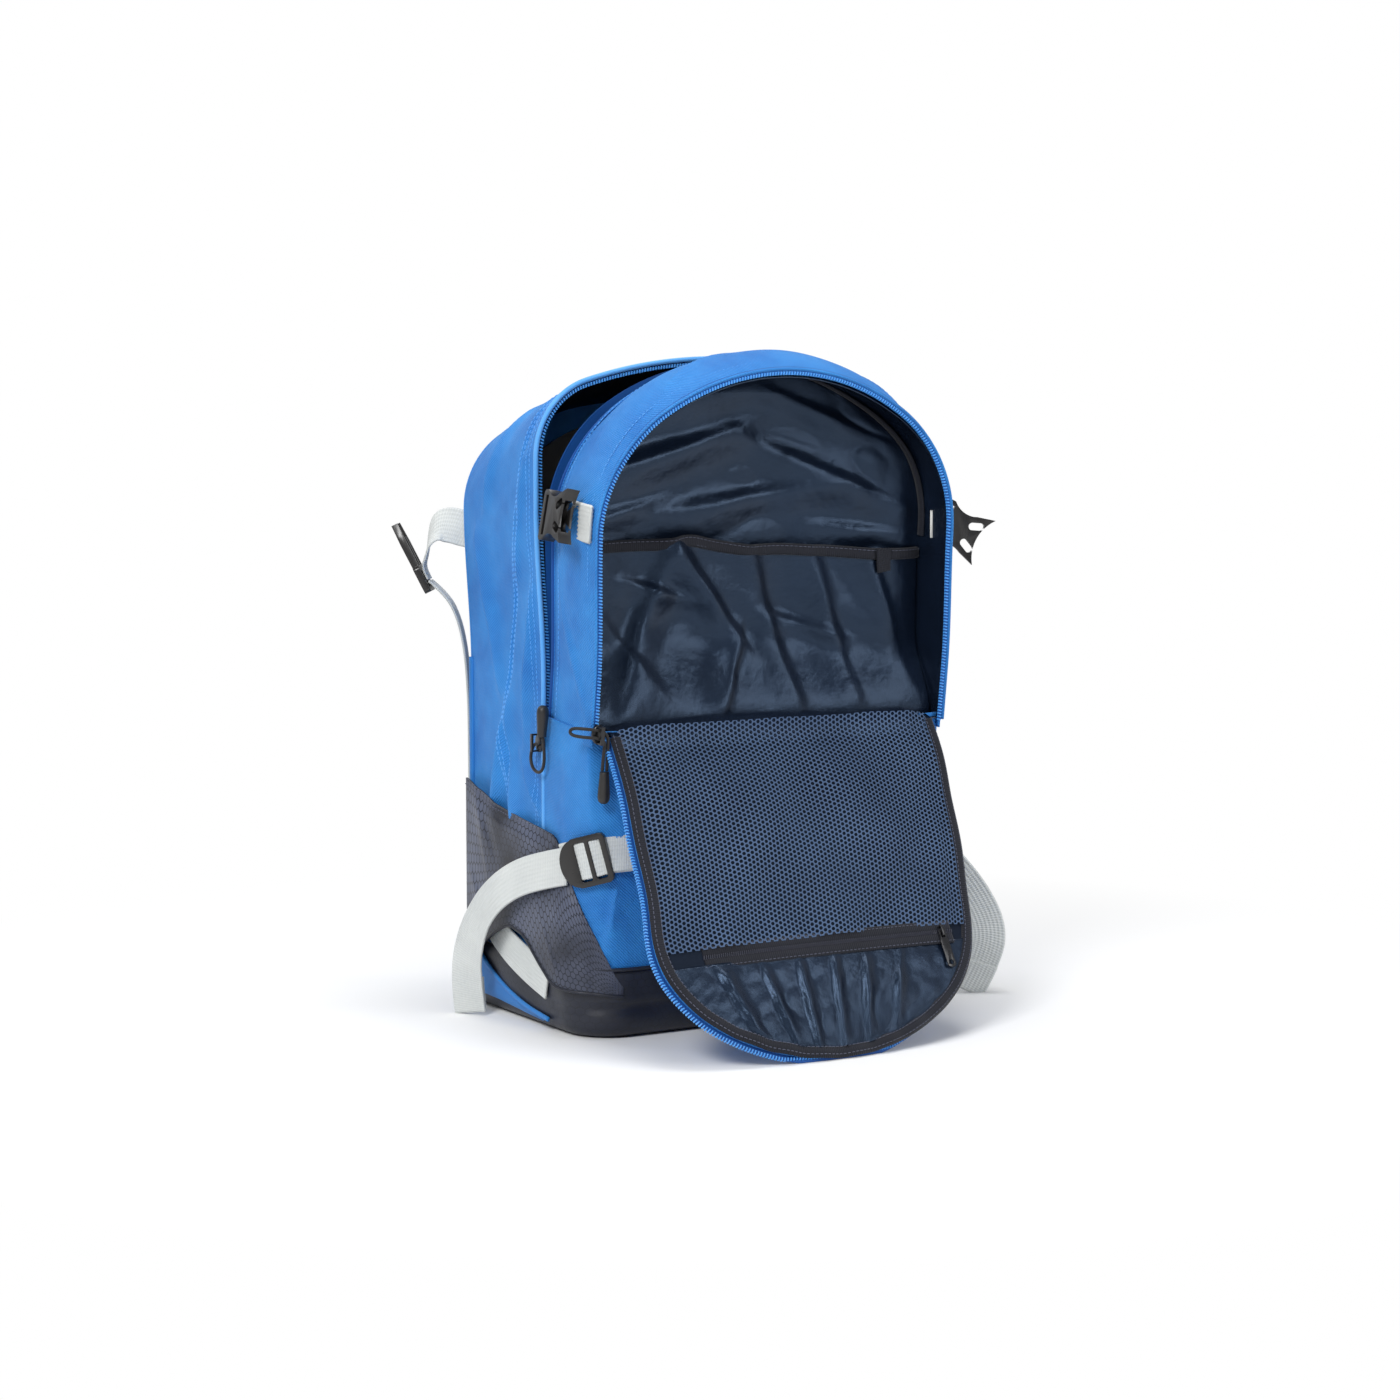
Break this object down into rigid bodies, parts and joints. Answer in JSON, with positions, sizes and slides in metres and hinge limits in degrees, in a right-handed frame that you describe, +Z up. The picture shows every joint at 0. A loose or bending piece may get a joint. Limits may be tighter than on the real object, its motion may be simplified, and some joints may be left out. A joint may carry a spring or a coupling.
{
  "type": "daypack",
  "caption": "Blue and charcoal hiking daypack standing open, with its front panel folded down, compression straps and padded shoulder straps.",
  "frame": {"origin": "on the floor under the middle of the base", "axes": "+Z up, the front of the pack faces -Y, +X is on the right seen from the front"},
  "size_m": [0.3744, 0.3493, 0.4502],
  "materials": {
    "main_fabric": "blue twill polyester, soft sheen, topstitched",
    "rear_fabric": "azure coated polyester",
    "coated_fabric": "charcoal coated fabric with an embossed hexagon texture",
    "lining": "navy glossy nylon lining",
    "mesh": "navy open mesh",
    "binding": "dark grosgrain tape",
    "webbing": "light grey ribbed webbing",
    "zip_coil": "blue nylon coil on a woven tape",
    "buckle_plastic": "black moulded acetal",
    "cord": "black woven round cord",
    "toggle_plastic": "black moulded rubbery plastic",
    "slider_metal": "black lacquered zinc",
    "back_mesh": "charcoal spacer mesh over foam",
    "stiffener": "polyethylene sheet",
    "label": "white woven label, bare"
  },
  "bodies": {
    "pack_body": {"base_panel": "coated_fabric", "lower_front_panel": "main_fabric", "lower_divider": "lining", "main_gusset": "main_fabric", "main_zip_track": "zip_coil", "back_panel": "rear_fabric", "frame_sheet": "stiffener", "haul_loop": "webbing", "back_pad_left": "back_mesh", "shoulder_strap_left": "back_mesh", "shoulder_webbing_left": "webbing", "side_wing_left": "coated_fabric", "lower_tab_left": "webbing", "load_strap_left": "webbing", "lower_tail_left": "webbing", "upper_strap_left": "webbing", "upper_tail_left": "webbing", "back_pad_right": "back_mesh", "shoulder_strap_right": "back_mesh", "shoulder_webbing_right": "webbing", "side_wing_right": "coated_fabric", "lower_tab_right": "webbing", "load_strap_right": "webbing", "lower_tail_right": "webbing", "upper_strap_right": "webbing", "upper_tail_right": "webbing"},
    "front_pod": {"pod_shell": "main_fabric", "pod_divider": "lining", "front_zip_track": "zip_coil", "pod_zip_track": "zip_coil", "organiser_pocket": "lining", "organiser_binding": "binding", "loop_tab": "binding", "seam_binding": "binding", "care_label": "label", "pod_tab_left": "webbing", "pod_tab_right": "webbing"},
    "front_flap": {"flap_panel": "main_fabric", "flap_binding": "binding", "flap_zip_track": "zip_coil", "mesh_pocket": "mesh", "flap_lining": "lining", "pocket_zip": "binding"},
    "front_slider": {"front_slider": "slider_metal", "front_cord": "cord", "front_toggle": "toggle_plastic"},
    "main_slider": {"main_slider": "slider_metal", "main_cord": "cord", "main_toggle": "toggle_plastic"},
    "pocket_slider": {"pocket_slider": "slider_metal"},
    "pocket_pull": {"pocket_pull": "slider_metal"},
    "female_buckle_left": {"female_buckle_left": "buckle_plastic"},
    "male_buckle_left": {"male_buckle_left": "buckle_plastic"},
    "lower_lock_left": {"lower_lock_left": "buckle_plastic"},
    "shoulder_lock_left": {"shoulder_lock_left": "buckle_plastic"},
    "female_buckle_right": {"female_buckle_right": "buckle_plastic"},
    "male_buckle_right": {"male_buckle_right": "buckle_plastic"},
    "lower_lock_right": {"lower_lock_right": "buckle_plastic"},
    "shoulder_lock_right": {"shoulder_lock_right": "buckle_plastic"}
  },
  "joints": [
    {"name": "pod_tilt", "type": "hinge", "parent": "pack_body", "child": "front_pod", "pos_m": [0, -0.036, 0.202], "axis": [1, 0, 0], "range_deg": [-7, 5]},
    {"name": "flap_fold", "type": "hinge", "parent": "front_pod", "child": "front_flap", "pos_m": [0, -0.09755, 0.19948], "axis": [-1, 0, 0], "range_deg": [0, 141.5]},
    {"name": "front_slider_slide", "type": "slide", "parent": "front_pod", "child": "front_slider", "axis": [0, -0.1219, 0.9925], "range_m": [0, 0.115]},
    {"name": "main_slider_slide", "type": "slide", "parent": "pack_body", "child": "main_slider", "axis": [0, 0, 1], "range_m": [0, 0.095]},
    {"name": "pocket_slider_slide", "type": "slide", "parent": "front_flap", "child": "pocket_slider", "axis": [-1, 0, 0], "range_m": [0, 0.16]},
    {"name": "pocket_pull_swing", "type": "hinge", "parent": "pocket_slider", "child": "pocket_pull", "pos_m": [0.075, -0.18423, 0.06843], "axis": [-1, 0, 0], "range_deg": [0, 150]},
    {"name": "female_buckle_left_swing", "type": "hinge", "parent": "front_pod", "child": "female_buckle_left", "pos_m": [-0.153, -0.06474, 0.34254], "axis": [-0.1705, 0.0206, -0.9851], "range_deg": [0, 130]},
    {"name": "female_buckle_right_swing", "type": "hinge", "parent": "front_pod", "child": "female_buckle_right", "pos_m": [0.156, -0.06474, 0.33654], "axis": [0.4018, -0.2419, 0.8832], "range_deg": [-12, 70]},
    {"name": "male_buckle_left_swing", "type": "hinge", "parent": "pack_body", "child": "male_buckle_left", "pos_m": [-0.15539, 0.10853, 0.28689], "axis": [0.5153, 0.857, -0.0006], "range_deg": [-60, 0]},
    {"name": "male_buckle_right_swing", "type": "hinge", "parent": "pack_body", "child": "male_buckle_right", "pos_m": [0.15539, 0.10853, 0.28689], "axis": [0.5153, -0.857, 0.0006], "range_deg": [-60, 0]},
    {"name": "lower_lock_left_tilt", "type": "hinge", "parent": "pack_body", "child": "lower_lock_left", "pos_m": [-0.12444, -0.09419, 0.12237], "axis": [-0.183, 0.183, 0.9659], "range_deg": [0, 25]},
    {"name": "lower_lock_right_tilt", "type": "hinge", "parent": "pack_body", "child": "lower_lock_right", "pos_m": [0.12444, -0.09419, 0.12237], "axis": [-0.183, -0.183, -0.9659], "range_deg": [0, 25]},
    {"name": "shoulder_lock_left_tilt", "type": "hinge", "parent": "pack_body", "child": "shoulder_lock_left", "pos_m": [-0.058, 0.11294, 0.191], "axis": [1, 0, 0], "range_deg": [0, 25]},
    {"name": "shoulder_lock_right_tilt", "type": "hinge", "parent": "pack_body", "child": "shoulder_lock_right", "pos_m": [0.058, 0.11294, 0.191], "axis": [1, 0, 0], "range_deg": [0, 25]}
  ]
}
